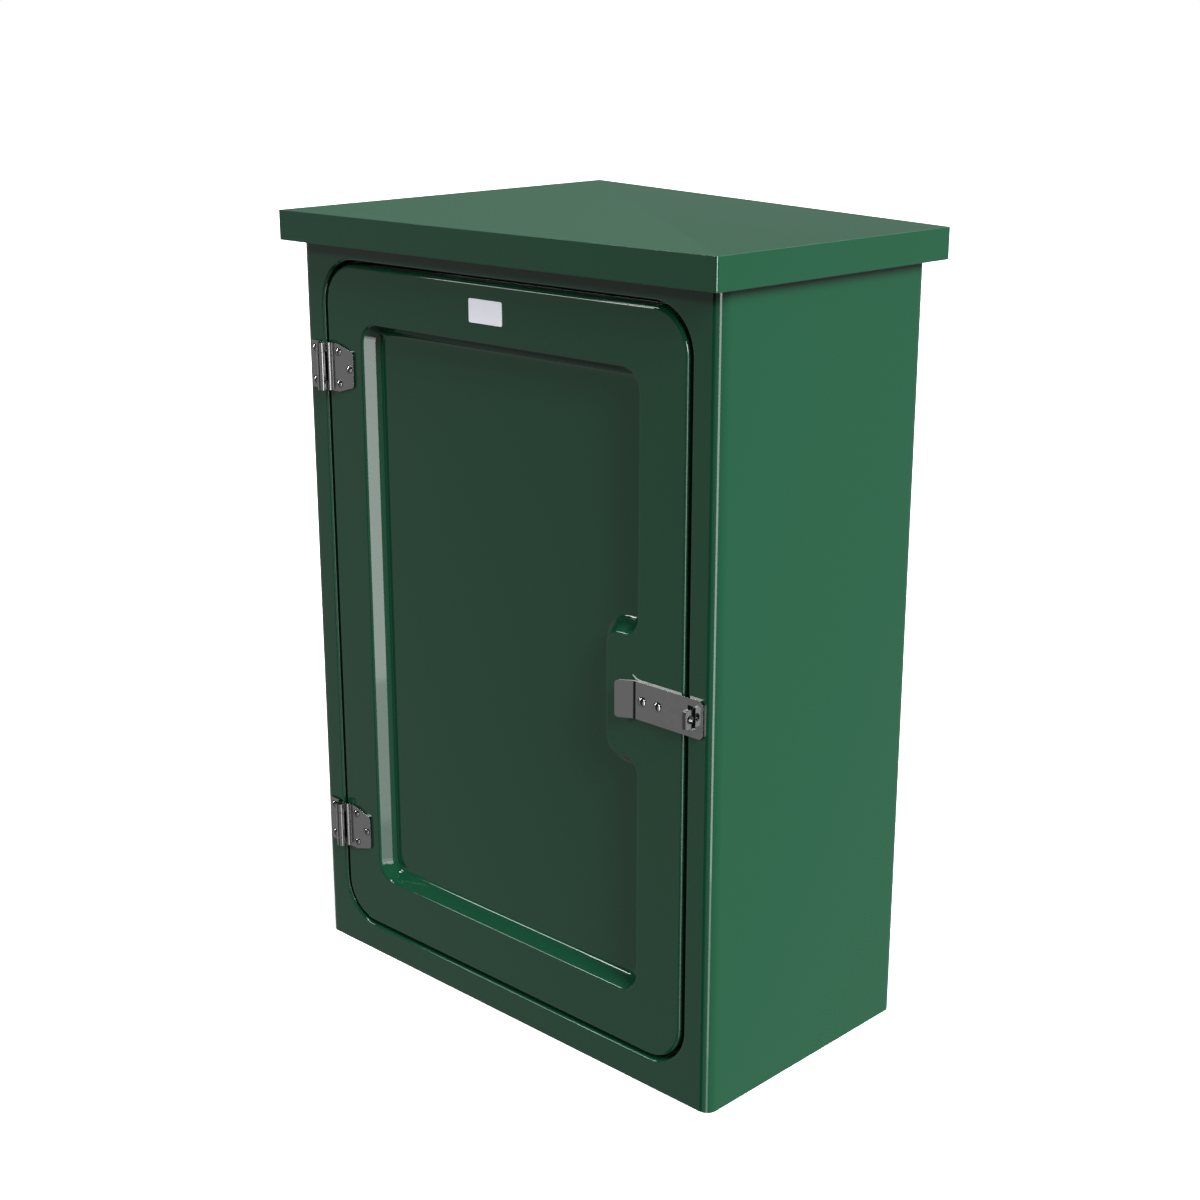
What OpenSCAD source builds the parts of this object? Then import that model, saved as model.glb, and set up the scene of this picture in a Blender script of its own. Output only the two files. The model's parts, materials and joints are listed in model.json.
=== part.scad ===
// Roadside utility cabinet: a moulded GRP housing with one hinged door and a separate roof.
// Millimetres, +Z up. The origin is the middle of the footprint, on the ground.
// The door is at the front, which faces -Y. It is hinged on the left and held by a hasp on the right.

/* [Housing] */
// Width of the housing
body_w = 622; // [520:1:760]
// Depth of the housing
body_d = 320; // [260:1:420]
// Height from the ground to the lower edge of the roof
body_h = 850; // [700:1:1050]
// Radius of the upright corners
corner_r = 12; // [8:0.5:14]
// Wall of the moulded housing, door and roof
wall = 4; // [3:0.5:5]
// Width of the foot flange, measured from the outer face
foot_w = 44; // [40:1:60]
// Thickness of the foot flange
foot_t = 6; // [4:0.5:10]
// Diameter of the anchor holes in the foot flange
anchor_d = 12; // [8:0.5:14]
// Distance of the anchor holes from the outer faces
anchor_in = 30; // [26:1:34]

/* [Roof] */
// Overhang of the roof past the sides
roof_side = 12; // [10:1:30]
// Overhang of the roof past the front and the back
roof_front = 22; // [12:1:40]
// Height of the roof's upright skirt
skirt_h = 33; // [30:1:50]
// Rise of the roof from the skirt to its peak
roof_rise = 40; // [20:1:80]
// Radius of the roof's upright corners
roof_r = 3; // [1:0.5:6]
// Length of the housing that stands up inside the roof
neck_h = 16; // [10:1:20]
// Diameter of the roof bolts
roof_bolt_d = 8; // [6:1:10]
// Width of the roof bolts' heads across their corners
roof_head_w = 14.8; // [12:0.1:18]
// Height of the roof bolts' heads
roof_head_h = 5.2; // [4:0.1:7]
// Radius of the roof bolts' washers
roof_washer_r = 8.4; // [8:0.1:12]
// Length of the roof bolts inside the roof's bosses
roof_bolt_grip = 12; // [8:1:14]
// Radius of the roof's bosses
boss_r = 12; // [10:0.5:14]
// Distance of the roof bolts from the housing's outer faces
roof_bolt_in = 25; // [22:1:32]

/* [Doorway] */
// Width of the front face beside the doorway
jamb_w = 36; // [35:1:50]
// Width of the front face below the doorway
sill_h = 33.5; // [30:0.5:60]
// Width of the front face above the doorway, up to the roof
head_h = 17.5; // [12:0.5:40]
// Radius of the doorway's corners
doorway_r = 50; // [46:1:70]
// Radius of the rounded edges round the doorway and the door
edge_r = 3.5; // [2:0.25:3.5]
// Width of the ledge
ledge_w = 18; // [16:1:24]
// Width of the rubber seal
seal_w = 10; // [6:0.5:12]
// Thickness of the rubber seal
seal_t = 3.7; // [2:0.1:6]
// Distance of the seal from the ledge's inner edge
seal_in = 2; // [1:0.5:6]

/* [Door] */
// Gap between the door and the doorway
door_gap = 4.5; // [4:0.25:6]
// Depth of the door's turned-back edge
door_d = 20; // [16:0.5:26]
// Width of the sunk panel
recess_w = 423; // [340:1:425]
// Height of the sunk panel
recess_h = 670; // [520:1:680]
// Place of the sunk panel's middle, to the right of the door's middle
recess_x = -1.5; // [-6:0.5:3]
// Depth of the sunk panel
recess_depth = 17; // [14:0.5:18]
// Slope of the sunk panel's sides from straight back
recess_slope = 32; // [20:1:36]
// Radius where the front face turns into the sunk panel's sides
shoulder_r = 4; // [2:0.5:5]
// Radius where the sides meet the sunk panel's floor
floor_r = 9; // [6:0.5:9]
// Radius of the sunk panel's corners at the front face
recess_r = 26; // [24:1:40]
// Width of the flat land that the hasp sits on, from the sunk panel's right edge
land_w = 43.5; // [40:0.5:60]
// Height of the land
land_h = 128; // [100:1:160]
// Radius of the land's own corners
land_r = 16; // [10:1:20]
// Radius where the land meets the sunk panel's right edge
notch_r = 20; // [20:0.5:24]

/* [Hinges] */
// Height of each hinge
hinge_h = 54; // [46:1:70]
// Distance of each hinge from the middle of the door
hinge_at = 279; // [240:1:300]
// Radius of the knuckles
knuckle_r = 5.5; // [5:0.25:6]
// Distance of the hinge line in front of the door's face
hinge_lift = 8.2; // [7.5:0.1:9]
// Distance from the hinge line to where the leaves' joggle starts
knee = 6.25; // [6:0.25:6.75]
// Distance from the hinge line to where the leaves lie flat
leaf_start = 7.25; // [7.25:0.25:9]
// Gap between a knuckle and the notch cut for it in the other leaf
notch_gap = 1.5; // [1:0.25:1.75]
// Radius of the hinge pin
pin_r = 3; // [2:0.25:3.5]
// Thickness of the hinge leaves
leaf_t = 2.5; // [2:0.25:3]
// Length of the middle knuckle, which is on the frame leaf
mid_knuckle = 32; // [24:1:36]
// Width of the frame leaf from the hinge line
frame_leaf_w = 25.5; // [24:0.5:26]
// Width of the door leaf from the hinge line
door_leaf_w = 48.5; // [46:0.5:56]
// Distance of the frame leaf's bolts from the hinge line
frame_bolt_x = 19; // [18:0.5:20]
// Distance of the door leaf's inner bolts from the hinge line
door_bolt_x = 23; // [20:0.5:26]
// Distance of the door leaf's outer bolt from the hinge line
outer_bolt_x = 41.2; // [38:0.2:43]
// Distance from the hinge line to where the door leaf starts to narrow
taper_start = 23.3; // [20:0.1:28]
// Angle of the narrowing edges
taper_angle = 16.5; // [10:0.5:20]
// Radius of the door leaf's outer corners
leaf_corner = 4; // [2:0.5:6]
// Distance between the upper and lower bolts of a hinge
bolt_pitch = 36.4; // [30:0.2:40]

/* [Hasp] */
// Height of the hasp plate
hasp_h = 40; // [36:1:50]
// Thickness of the hasp plate
hasp_t = 3; // [2:0.25:4]
// Place of the hasp's middle below the middle of the door
hasp_drop = 2; // [0:0.5:6]
// Distance of the hasp's bend from the door's right edge
bend_in = 63.7; // [56:0.1:70]
// Length of the finger tab along its slope
tab_l = 20; // [16:0.5:26]
// Angle of the finger tab
tab_angle = 31.6; // [20:0.2:40]
// Distance of the hasp's outer end from the housing's side
hasp_end_in = 13; // [12.5:0.5:16]
// Cut across the corners of the hasp's outer end
hasp_cut = 4; // [2:0.5:6]
// Width of the slot in the hasp
slot_w = 10.5; // [8:0.25:11]
// Height of the slot in the hasp
slot_h = 25; // [23:0.5:28]
// Distance of the hasp's first bolt from the bend
hasp_bolt_1 = 10.2; // [8:0.2:14]
// Distance between the hasp's bolts
hasp_bolt_step = 20.5; // [16:0.5:26]
// Thickness of the staple
staple_t = 5; // [4:0.25:5]
// Height of the staple
staple_h = 20; // [16:0.5:20]
// Distance that the staple stands out from the front face
staple_out = 14; // [13:0.5:18]
// Diameter of the padlock hole in the staple
padlock_d = 8.5; // [6:0.5:9]
// Distance of the padlock hole's edge from the hasp plate
padlock_lift = 0.5; // [0:0.25:1]
// Distance of the staple's middle from the housing's side
staple_in = 28; // [26.5:0.25:28]
// Height of the staple's base, inside the front wall
staple_base_h = 50; // [44:1:60]
// Thickness of the staple's base
staple_base_t = 3; // [2:0.5:4]
// Distance between the staple's screws
staple_pitch = 28; // [26:1:32]
// Radius of the staple screws' countersunk heads
csk_r = 4.5; // [4:0.1:5]
// Depth of the staple screws' heads
csk_h = 2.4; // [1.5:0.1:2.8]

/* [Fasteners] */
// Diameter of the cup-head bolts
bolt_d = 5; // [4:0.5:6]
// Radius of the cup heads on the hinges
cup_r = 4.9; // [4:0.1:5]
// Height of the cup heads on the hinges
cup_h = 2.8; // [2:0.1:3.4]
// Radius of the cup heads on the hasp
hasp_cup_r = 5.4; // [4.5:0.1:6]
// Height of the cup heads on the hasp
hasp_cup_h = 3.1; // [2:0.1:3.6]
// Radius of the washers behind the bolts
washer_r = 6; // [5:0.25:6.5]
// Thickness of the washers
washer_t = 1.2; // [0.8:0.1:1.6]
// Width of the nuts across their corners
nut_w = 9.2; // [8:0.1:10]
// Height of the nuts
nut_h = 4; // [3:0.25:5]
// Length of thread left behind the nuts
bolt_tail = 2; // [1:0.5:4]

/* [Back board] */
// Width of the plywood back board
board_w = 540; // [400:1:560]
// Height of the plywood back board
board_h = 740; // [500:1:760]
// Thickness of the plywood back board
board_t = 12; // [9:1:18]
// Length of the pads that hold the board off the back wall
pad_l = 16; // [10:1:24]
// Radius of the pads
pad_r = 15; // [12:1:18]
// Distance of the board's screws from its edges
board_screw_in = 30; // [20:1:50]
// Diameter of the board's screws
board_screw_d = 6; // [5:0.5:8]
// Radius of the screws' heads
board_head_r = 6; // [5:0.25:7]
// Height of the screws' heads
board_head_h = 3.2; // [2:0.1:5]
// Radius of the washers under the heads
board_washer_r = 9; // [8:0.5:12]
// Distance that the screws stop short of the back wall
board_screw_short = 2; // [1:0.5:5]

/* [Label plate] */
// Width of the label plate
label_w = 50; // [30:1:80]
// Height of the label plate
label_h = 25; // [15:1:30]
// Thickness of the label plate
label_t = 0.8; // [0.5:0.1:2]
// Radius of the label plate's corners
label_r = 2; // [1:0.5:4]
// Place of the label plate's middle, to the right of the door's middle
label_x = -8; // [-60:1:60]

/* [Hidden] */
$fn = 64;
// Clearance of a bolt in its hole
bolt_play = 0.25;
// Clearance of the pin in a turning knuckle
pin_play = 0.05;
// Gap between parts that move past each other
run_gap = 0.3;
// Clearance of a countersunk head in its seat
csk_play = 0.1;
// Gap between the staple's base and the walls beside it
base_gap = 0.5;
// Cutting tools reach this far past what they cut
over = 1;
// The sunk panel's sides and its floor share a strip of this width
lap = 1;

front = -body_d / 2;
top = body_h + neck_h;
half_w = body_w / 2;
doorway_w = body_w - 2 * jamb_w;
doorway_h = body_h - sill_h - head_h;
door_w = doorway_w - 2 * door_gap;
door_h = doorway_h - 2 * door_gap;
door_r = doorway_r - door_gap;
door_z = sill_h + doorway_h / 2;
door_right = door_w / 2;
rebate_d = door_d + run_gap + seal_t;

// The side of the sunk panel runs from T1, where the shoulder ends, to T2, where the floor curve starts
slope_run = recess_depth - (shoulder_r + floor_r) * (1 - sin(recess_slope));
t1 = [shoulder_r * cos(recess_slope), shoulder_r * (1 - sin(recess_slope))];
t2 = [t1[0] + slope_run * tan(recess_slope), t1[1] + slope_run];
side_run = t2[0] + floor_r * cos(recess_slope);
// The back of the side lies one wall behind its front
back_start = [t1[0] - wall * cos(recess_slope), t1[1] + wall * sin(recess_slope)];
tub_back = recess_depth + wall;
tub_run = back_start[0] + (tub_back - back_start[1]) * tan(recess_slope);
// It starts inside the door's face
tub_y = wall - over;
tub_in = back_start[0] - (back_start[1] - tub_y) * tan(recess_slope);
left_x = recess_x - recess_w / 2;
right_x = recess_x + recess_w / 2;
low_z = -recess_h / 2;
high_z = recess_h / 2;
land_x = right_x - land_w;
land_low = -hasp_drop - land_h / 2;
land_high = -hasp_drop + land_h / 2;

hinge_x = -half_w + jamb_w + door_gap / 2;
hinge_y = front - hinge_lift;
hinge_zs = [door_z + hinge_at, door_z - hinge_at];
knuckle_base = hinge_lift - knuckle_r;
mitre = leaf_t * tan(atan(knuckle_base / (leaf_start - knee)) / 2);
end_knuckle = (hinge_h - mid_knuckle) / 2 - run_gap;
taper_run = door_leaf_w - leaf_corner - taper_start;
// Height of the middles of the door leaf's outer corners
nose_z = hinge_h / 2 - (leaf_corner + taper_run * sin(taper_angle)) / cos(taper_angle);
small_corner = 2;

hasp_z = door_z - hasp_drop;
bend_x = door_right - bend_in;
hasp_end = half_w - hasp_end_in;
staple_x = half_w - staple_in;
hasp_bolt_xs = [bend_x + hasp_bolt_1, bend_x + hasp_bolt_1 + hasp_bolt_step];
tab_corner = 4;
slot_r = 1.5;
staple_corner = 1.5;
padlock_y = front - hasp_t - padlock_d / 2 - padlock_lift;
// The staple's base fills the flat between the doorway's edge and the upright corner
base_end = half_w - corner_r - base_gap;
staple_base_w = jamb_w - wall - corner_r - 2 * base_gap;
base_x = base_end - staple_base_w / 2;
staple_screw_x = base_end - nut_w / 2 - run_gap;

board_y = body_d / 2 - wall - pad_l - board_t;
board_screw_x = board_w / 2 - board_screw_in;
board_screw_z = board_h / 2 - board_screw_in;

roof_w = body_w + 2 * roof_side;
roof_d = body_d + 2 * roof_front;
roof_z = body_h;
eave_z = body_h + skirt_h;
flange_t = wall;
roof_bolt_x = half_w - roof_bolt_in;
roof_bolt_y = body_d / 2 - roof_bolt_in;
anchor_x = half_w - anchor_in;
anchor_y = body_d / 2 - anchor_in;

grp = "#2f5a41";
steel = "#a4a7a8";
zinc = "#c3c5c6";
black = "#1c1c1c";
ply = "#c79f66";
white = "#e9ebe8";

// Points of an arc
function arc(c, r, a0, a1, n = 8) =
    [for (i = [0:n]) c + r * [cos(a0 + (a1 - a0) * i / n), sin(a0 + (a1 - a0) * i / n)]];

// Rectangle with round corners, centred
module round_rect(w, h, r) {
    square([w - 2 * r, h], center = true);
    square([w, h - 2 * r], center = true);
    for (x = [-1, 1], y = [-1, 1])
        translate([x * (w / 2 - r), y * (h / 2 - r)])
            circle(r);
}

// Outline in the front plane, made solid from depth y0 to depth y1 behind the front face
module behind(y0, y1) {
    translate([0, front + y1, 0])
        rotate([90, 0, 0])
            linear_extrude(y1 - y0)
                children();
}

// Upright tube wall with round corners
module ring(z0, z1, w, d, r, in_w, in_d, in_r) {
    translate([0, 0, z0])
        linear_extrude(z1 - z0)
            difference() {
                round_rect(w, d, r);
                round_rect(in_w, in_d, in_r);
            }
}

// Quarter turn of a profile about a line from front to back; quarter 0 is upper right
module quarter(x, z, turn) {
    translate([x, front, z])
        rotate([-90, 0, 0])
            rotate([0, 0, -90 * (turn + 1)])
                rotate_extrude(angle = 90)
                    children();
}

// Straight run of a profile; its X points away from the start line, turned by angle in the front plane
module run(x, z, angle, length) {
    translate([x, front, z])
        rotate([0, -angle, 0])
            linear_extrude(length)
                children();
}

// A profile carried all the way round a rectangle with round corners.
// Profile X is the distance from the corner's centre, and profile Y is the depth.
module carry(w, h, r) {
    for (t = [0:3]) {
        sx = t == 0 || t == 3 ? 1 : -1;
        sz = t < 2 ? 1 : -1;
        quarter(sx * (w / 2 - r), sz * (h / 2 - r), t)
            children();
    }
    run(w / 2 - r, -(h / 2 - r), 0, h - 2 * r)
        children();
    run(w / 2 - r, h / 2 - r, 90, w - 2 * r)
        children();
    run(-(w / 2 - r), h / 2 - r, 180, h - 2 * r)
        children();
    run(-(w / 2 - r), -(h / 2 - r), 270, w - 2 * r)
        children();
}

// Outline of the sunk panel, moved inwards by m
module recess_outline(m) {
    difference() {
        translate([(left_x + right_x) / 2, 0])
            round_rect(recess_w - 2 * m, recess_h - 2 * m, recess_r - m);
        translate([land_x - m, land_low + land_r])
            square([land_w + 2 * m, land_h - 2 * land_r]);
        translate([land_x + land_r, land_low - m])
            square([land_w + m, land_h + 2 * m]);
        for (z = [land_low + land_r, land_high - land_r])
            translate([land_x + land_r, z])
                circle(land_r + m);
        for (side = [-1, 1])
            notch_corner(m, side);
    }
}

// What the round corner beside the land leaves outside the sunk panel
module notch_corner(m, side) {
    cz = side > 0 ? land_high + notch_r : land_low - notch_r;
    difference() {
        translate([right_x - notch_r, side > 0 ? cz - notch_r : cz])
            square([notch_r + over, notch_r]);
        translate([right_x - notch_r, cz])
            circle(notch_r - m);
    }
}

// A profile carried round the sunk panel's outline. Profile X is the distance inwards.
module carry_recess() {
    inner_w = right_x - left_x - 2 * recess_r;
    run(left_x, low_z + recess_r, 0, recess_h - 2 * recess_r)
        children();
    run(right_x - recess_r, low_z, 90, inner_w)
        children();
    run(left_x + recess_r, high_z, 270, inner_w)
        children();
    side_l = high_z - recess_r - land_high - notch_r;
    run(right_x, high_z - recess_r, 180, side_l)
        children();
    low_l = land_low - notch_r - low_z - recess_r;
    run(right_x, land_low - notch_r, 180, low_l)
        children();
    run(land_x, land_high - land_r, 180, land_h - 2 * land_r)
        children();
    land_l = right_x - notch_r - land_x - land_r;
    run(right_x - notch_r, land_high, 90, land_l)
        children();
    run(land_x + land_r, land_low, 270, land_l)
        children();
    for (t = [0:3]) {
        sx = t == 0 || t == 3 ? 1 : -1;
        sz = t < 2 ? 1 : -1;
        quarter(sx > 0 ? right_x - recess_r : left_x + recess_r, sz * (recess_h / 2 - recess_r), t)
            translate([recess_r, 0])
                mirror([1, 0])
                    children();
    }
    quarter(right_x - notch_r, land_low - notch_r, 0)
        translate([notch_r, 0])
            mirror([1, 0])
                children();
    quarter(right_x - notch_r, land_high + notch_r, 3)
        translate([notch_r, 0])
            mirror([1, 0])
                children();
    quarter(land_x + land_r, land_high - land_r, 1)
        translate([land_r, 0])
            children();
    quarter(land_x + land_r, land_low + land_r, 2)
        translate([land_r, 0])
            children();
}

// Side of the sunk panel: shoulder, slope and floor curve
module side_profile() {
    difference() {
        union() {
            polygon([[0, -over], [0, 0], t1, t2, [side_run, recess_depth],
                [side_run + lap, recess_depth], [side_run + lap, -over]]);
            intersection() {
                translate([side_run, recess_depth - floor_r])
                    circle(floor_r);
                translate([t2[0], t2[1] - floor_r])
                    square([side_run - t2[0], 2 * floor_r]);
            }
        }
        translate([0, shoulder_r])
            circle(shoulder_r);
    }
}

// What the sunk panel takes out of the door
module recess_cut() {
    behind(-over, recess_depth)
        recess_outline(side_run + lap / 2);
    carry_recess()
        side_profile();
}

// The back of the sunk panel, one wall behind its front
module recess_back() {
    behind(tub_y, tub_back)
        recess_outline(tub_run + lap / 2);
    carry_recess()
        polygon([[tub_in, tub_y], [tub_run, tub_back], [tub_run + lap, tub_back], [tub_run + lap, tub_y]]);
}

// Section through the door's edge: face, rounded edge and turned-back flange
module door_edge() {
    difference() {
        square([door_r, door_d]);
        translate([-over, wall])
            square([door_r - wall + over, door_d]);
        translate([door_r - edge_r, -over])
            square([edge_r + over, edge_r + over]);
    }
    intersection() {
        translate([door_r - edge_r, edge_r])
            circle(edge_r);
        translate([door_r - edge_r, 0])
            square(edge_r);
    }
}

// Section through the doorway's edge: face, rounded edge, rebate and ledge
module doorway_edge() {
    difference() {
        union() {
            translate([doorway_r, 0])
                square([2 * wall, wall]);
            translate([doorway_r, 0])
                square([wall, rebate_d + wall]);
        }
        translate([doorway_r - over, -over])
            square([edge_r + over, edge_r + over]);
    }
    intersection() {
        translate([doorway_r + edge_r, edge_r])
            circle(edge_r);
        translate([doorway_r, 0])
            square(edge_r);
    }
    translate([doorway_r - ledge_w, rebate_d])
        square([ledge_w + wall, wall]);
}

// Hole or shank from depth y0 to depth y1 behind the front face
module pole(x, z, y0, y1, r) {
    translate([x, front + y1, z])
        rotate([90, 0, 0])
            cylinder(r = r, h = y1 - y0);
}

// Cup-head bolt: the underside of the head is at depth y0, and the shank ends at depth y1
module cup_bolt(x, z, y0, y1, head_r, head_h) {
    ball_r = (head_r * head_r + head_h * head_h) / (2 * head_h);
    pole(x, z, y0 - head_h / 4, y1, bolt_d / 2);
    translate([x, front + y0, z])
        rotate([90, 0, 0])
            rotate_extrude()
                intersection() {
                    translate([0, head_h - ball_r])
                        circle(ball_r);
                    square([head_r + over, head_h + over]);
                }
}

module flat_washer(x, z, y0) {
    difference() {
        pole(x, z, y0, y0 + washer_t, washer_r);
        pole(x, z, y0 - over, y0 + washer_t + over, bolt_d / 2 + bolt_play);
    }
}

module hex_nut(x, z, y0) {
    difference() {
        translate([x, front + y0 + nut_h, z])
            rotate([90, 0, 0])
                cylinder(d = nut_w, h = nut_h, $fn = 6);
        pole(x, z, y0 - over, y0 + nut_h + over, bolt_d / 2);
    }
}

// Places of the bolts of one hinge, counted from the hinge line
frame_bolts = [for (z = [-1, 1]) [-frame_bolt_x, z * bolt_pitch / 2]];
door_bolts = concat([for (z = [-1, 1]) [door_bolt_x, z * bolt_pitch / 2]], [[outer_bolt_x, 0]]);
frame_points = [for (hz = hinge_zs, b = frame_bolts) [hinge_x + b[0], hz + b[1]]];
door_points = [for (hz = hinge_zs, b = door_bolts) [hinge_x + b[0], hz + b[1]]];
nut_y = wall + washer_t;
bolt_end = nut_y + nut_h + bolt_tail;

module cabinet_shell() {
    color(grp)
        difference() {
            union() {
                difference() {
                    ring(0, top, body_w, body_d, corner_r, body_w - 2 * wall, body_d - 2 * wall,
                        corner_r - wall);
                    translate([0, 0, door_z])
                        behind(-over, wall + over)
                            round_rect(doorway_w + 2 * wall, doorway_h + 2 * wall, doorway_r + wall);
                }
                translate([0, 0, door_z])
                    carry(doorway_w, doorway_h, doorway_r)
                        doorway_edge();
                ring(0, foot_t, body_w - wall, body_d - wall, corner_r - wall / 2,
                    body_w - 2 * foot_w, body_d - 2 * foot_w, corner_r);
                ring(top - flange_t, top, body_w - wall, body_d - wall, corner_r - wall / 2,
                    body_w - 2 * foot_w, body_d - 2 * foot_w, corner_r);
                for (x = [-1, 1], z = [-1, 1])
                    pole(x * board_screw_x, door_z + z * board_screw_z,
                        body_d - wall - pad_l, body_d - wall / 2, pad_r);
            }
            for (x = [-1, 1], y = [-1, 1]) {
                translate([x * anchor_x, y * anchor_y, -over])
                    cylinder(d = anchor_d, h = foot_t + 2 * over);
                translate([x * roof_bolt_x, y * roof_bolt_y, top - flange_t - over])
                    cylinder(r = roof_bolt_d / 2 + bolt_play, h = flange_t + 2 * over);
            }
            for (x = [-1, 1], z = [-1, 1])
                pole(x * board_screw_x, door_z + z * board_screw_z,
                    body_d - wall - pad_l - over, body_d - wall, board_screw_d / 2);
            for (p = frame_points)
                pole(p[0], p[1], -over, wall + over, bolt_d / 2 + bolt_play);
            for (z = [-1, 1]) {
                pole(staple_screw_x, hasp_z + z * staple_pitch / 2, -over, wall + over,
                    bolt_d / 2 + bolt_play);
                translate([staple_screw_x, front, hasp_z + z * staple_pitch / 2])
                    rotate([-90, 0, 0])
                        cylinder(r1 = csk_r, r2 = bolt_d / 2, h = csk_h);
            }
            translate([staple_x - staple_t / 2 - bolt_play, front - over,
                    hasp_z - staple_h / 2 - bolt_play])
                cube([staple_t + 2 * bolt_play, wall + 2 * over, staple_h + 2 * bolt_play]);
        }
}

// Gable section of the roof, as wide as w, with its walls moved in by t
module gable(w, t) {
    low = t > 0 ? roof_z - over : roof_z;
    edge = w / 2 - t;
    eave = eave_z - t + roof_rise * t / (w / 2);
    peak = eave_z - t + roof_rise;
    polygon([[-edge, low], [edge, low], [edge, eave], [0, peak], [-edge, eave]]);
}

module roof_form(t) {
    intersection() {
        translate([0, roof_d / 2, 0])
            rotate([90, 0, 0])
                linear_extrude(roof_d)
                    gable(roof_w, t);
        rotate([90, 0, 90])
            translate([0, 0, -roof_w / 2])
                linear_extrude(roof_w)
                    gable(roof_d, t);
        translate([0, 0, roof_z - over])
            linear_extrude(skirt_h + roof_rise + 2 * over)
                round_rect(roof_w - 2 * t, roof_d - 2 * t, roof_r);
    }
}

module roof() {
    color(grp)
        difference() {
            union() {
                difference() {
                    roof_form(0);
                    roof_form(wall);
                }
                intersection() {
                    roof_form(wall / 2);
                    for (x = [-1, 1], y = [-1, 1])
                        translate([x * roof_bolt_x, y * roof_bolt_y, top])
                            cylinder(r = boss_r, h = skirt_h + roof_rise);
                }
            }
            for (x = [-1, 1], y = [-1, 1])
                translate([x * roof_bolt_x, y * roof_bolt_y, top - over])
                    cylinder(d = roof_bolt_d, h = roof_bolt_grip + over);
        }
}

module roof_bolts() {
    color(zinc)
        for (x = [-1, 1], y = [-1, 1])
            translate([x * roof_bolt_x, y * roof_bolt_y, top]) {
                shank = flange_t + washer_t;
                translate([0, 0, -shank])
                    cylinder(d = roof_bolt_d, h = shank + roof_bolt_grip);
                translate([0, 0, -shank - roof_head_h])
                    cylinder(d = roof_head_w, h = roof_head_h, $fn = 6);
            }
}

module roof_washers() {
    color(zinc)
        for (x = [-1, 1], y = [-1, 1])
            translate([x * roof_bolt_x, y * roof_bolt_y, top - flange_t - washer_t])
                difference() {
                    cylinder(r = roof_washer_r, h = washer_t);
                    translate([0, 0, -over])
                        cylinder(r = roof_bolt_d / 2 + bolt_play, h = washer_t + 2 * over);
                }
}

module door_seal() {
    color(black)
        translate([0, 0, door_z])
            carry(doorway_w, doorway_h, doorway_r)
                translate([doorway_r - ledge_w + seal_in, rebate_d - seal_t])
                    square([seal_w, seal_t]);
}

// A leaf seen from above: flat on the face, joggled up to the knuckle. X runs away from the hinge line.
module joggle(length) {
    polygon([
        [0, knuckle_base], [knee, knuckle_base], [leaf_start, 0], [length, 0],
        [length, leaf_t], [leaf_start + mitre, leaf_t], [knee + mitre, knuckle_base + leaf_t],
        [0, knuckle_base + leaf_t]
    ]);
}

// The joggled part of a leaf, centred on height hz; side is 1 towards the door and -1 towards the frame
module leaf_body(hz, side) {
    translate([hinge_x, front, hz])
        mirror([side < 0 ? 1 : 0, 0, 0])
            mirror([0, 1, 0])
                linear_extrude(hinge_h, center = true)
                    joggle(leaf_start + mitre + small_corner);
}

// Notch in a leaf for a knuckle of the other leaf, from z0 to z1
module knuckle_notch(z0, z1, side) {
    reach = knuckle_r + notch_gap;
    translate([side < 0 ? hinge_x - reach : hinge_x - over, hinge_y - knuckle_r, z0])
        cube([reach + over, hinge_lift + knuckle_r + over, z1 - z0]);
}

module knuckle(z0, z1) {
    translate([hinge_x, hinge_y, z0])
        cylinder(r = knuckle_r, h = z1 - z0);
}

module pin_hole(z0, z1, r) {
    translate([hinge_x, hinge_y, z0 - over])
        cylinder(r = r, h = z1 - z0 + 2 * over);
}

module frame_leaf(hz) {
    half = hinge_h / 2;
    inner = frame_leaf_w - leaf_start;
    color(steel)
        difference() {
            union() {
                translate([hinge_x - leaf_start - inner / 2, 0, hz])
                    behind(-leaf_t, 0)
                        round_rect(inner, hinge_h, small_corner);
                difference() {
                    leaf_body(hz, -1);
                    for (z = [hz - half - over, hz + mid_knuckle / 2])
                        knuckle_notch(z, z + half - mid_knuckle / 2 + over, -1);
                }
                knuckle(hz - mid_knuckle / 2, hz + mid_knuckle / 2);
            }
            pin_hole(hz - half, hz + half, pin_r);
            for (b = frame_bolts)
                pole(hinge_x + b[0], hz + b[1], -leaf_t - over, over, bolt_d / 2 + bolt_play);
        }
}

module door_leaf(hz) {
    half = hinge_h / 2;
    color(steel)
        difference() {
            union() {
                translate([hinge_x, 0, hz])
                    behind(-leaf_t, 0)
                        polygon(concat(
                            [[leaf_start, -half], [taper_start, -half]],
                            arc([door_leaf_w - leaf_corner, -nose_z], leaf_corner, taper_angle - 90, 0),
                            arc([door_leaf_w - leaf_corner, nose_z], leaf_corner, 0, 90 - taper_angle),
                            [[taper_start, half], [leaf_start, half]]
                        ));
                difference() {
                    leaf_body(hz, 1);
                    knuckle_notch(hz - half + end_knuckle, hz + half - end_knuckle, 1);
                }
                for (z = [hz - half, hz + half - end_knuckle])
                    knuckle(z, z + end_knuckle);
            }
            pin_hole(hz - half, hz + half, pin_r + pin_play);
            for (b = door_bolts)
                pole(hinge_x + b[0], hz + b[1], -leaf_t - over, over, bolt_d / 2 + bolt_play);
        }
}

module hinge_pin(hz) {
    color(steel)
        translate([hinge_x, hinge_y, hz - hinge_h / 2])
            cylinder(r = pin_r, h = hinge_h);
}

module upper_frame_leaf() {
    frame_leaf(hinge_zs[0]);
}

module lower_frame_leaf() {
    frame_leaf(hinge_zs[1]);
}

module upper_hinge_pin() {
    hinge_pin(hinge_zs[0]);
}

module lower_hinge_pin() {
    hinge_pin(hinge_zs[1]);
}

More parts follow.
